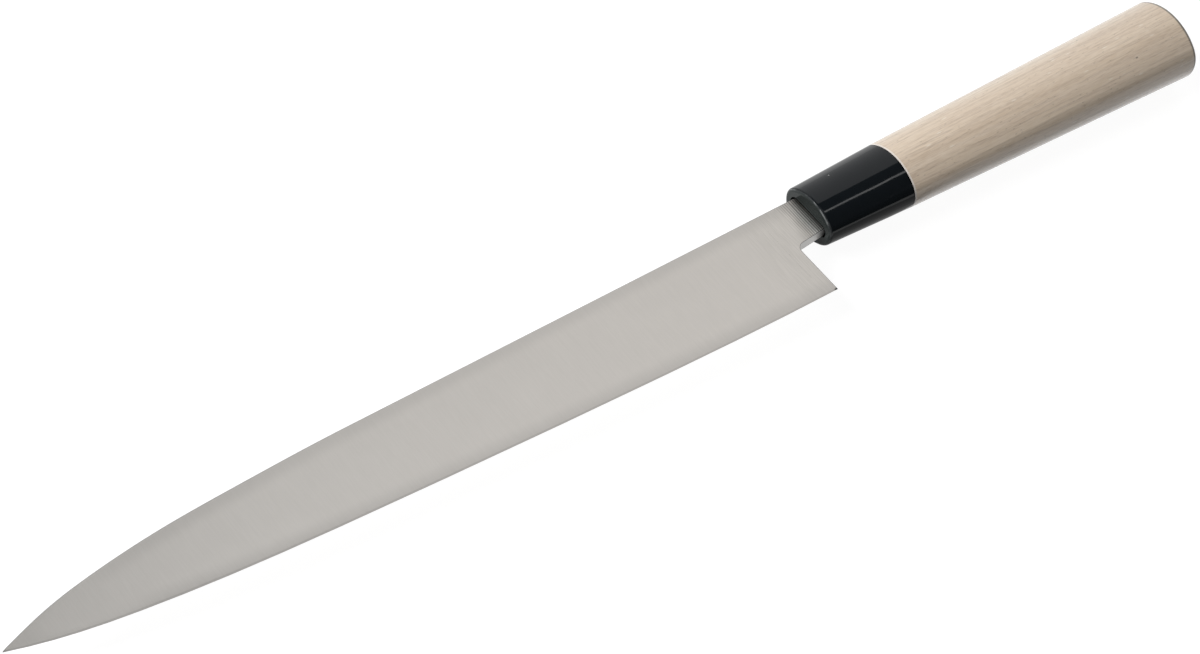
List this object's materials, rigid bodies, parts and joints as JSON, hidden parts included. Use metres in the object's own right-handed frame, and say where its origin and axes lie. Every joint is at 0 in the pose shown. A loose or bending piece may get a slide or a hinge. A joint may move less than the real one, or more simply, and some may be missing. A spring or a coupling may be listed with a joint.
{
  "type": "yanagiba knife",
  "caption": "Single-bevel slicing knife with a long narrow blade, hollow back, notched neck, black collar and D-shaped wooden handle.",
  "frame": {"origin": "centre of the flat butt face, on the handle's axis, in the plane of the tang's middle", "axes": "+X from the butt to the tip, +Y from the spine towards the cutting edge, +Z out of the hollow back of the blade"},
  "size_m": [0.4189, 0.0408, 0.0228],
  "materials": {
    "steel": "satin stainless steel, ground across at the neck",
    "collar_plastic": "polished black",
    "magnolia": "bare sanded pale wood",
    "glue": "cured, unseen"
  },
  "bodies": {
    "root": {"blade": "steel", "collar": "collar_plastic", "handle": "magnolia", "tang_glue": "glue"}
  },
  "joints": []
}
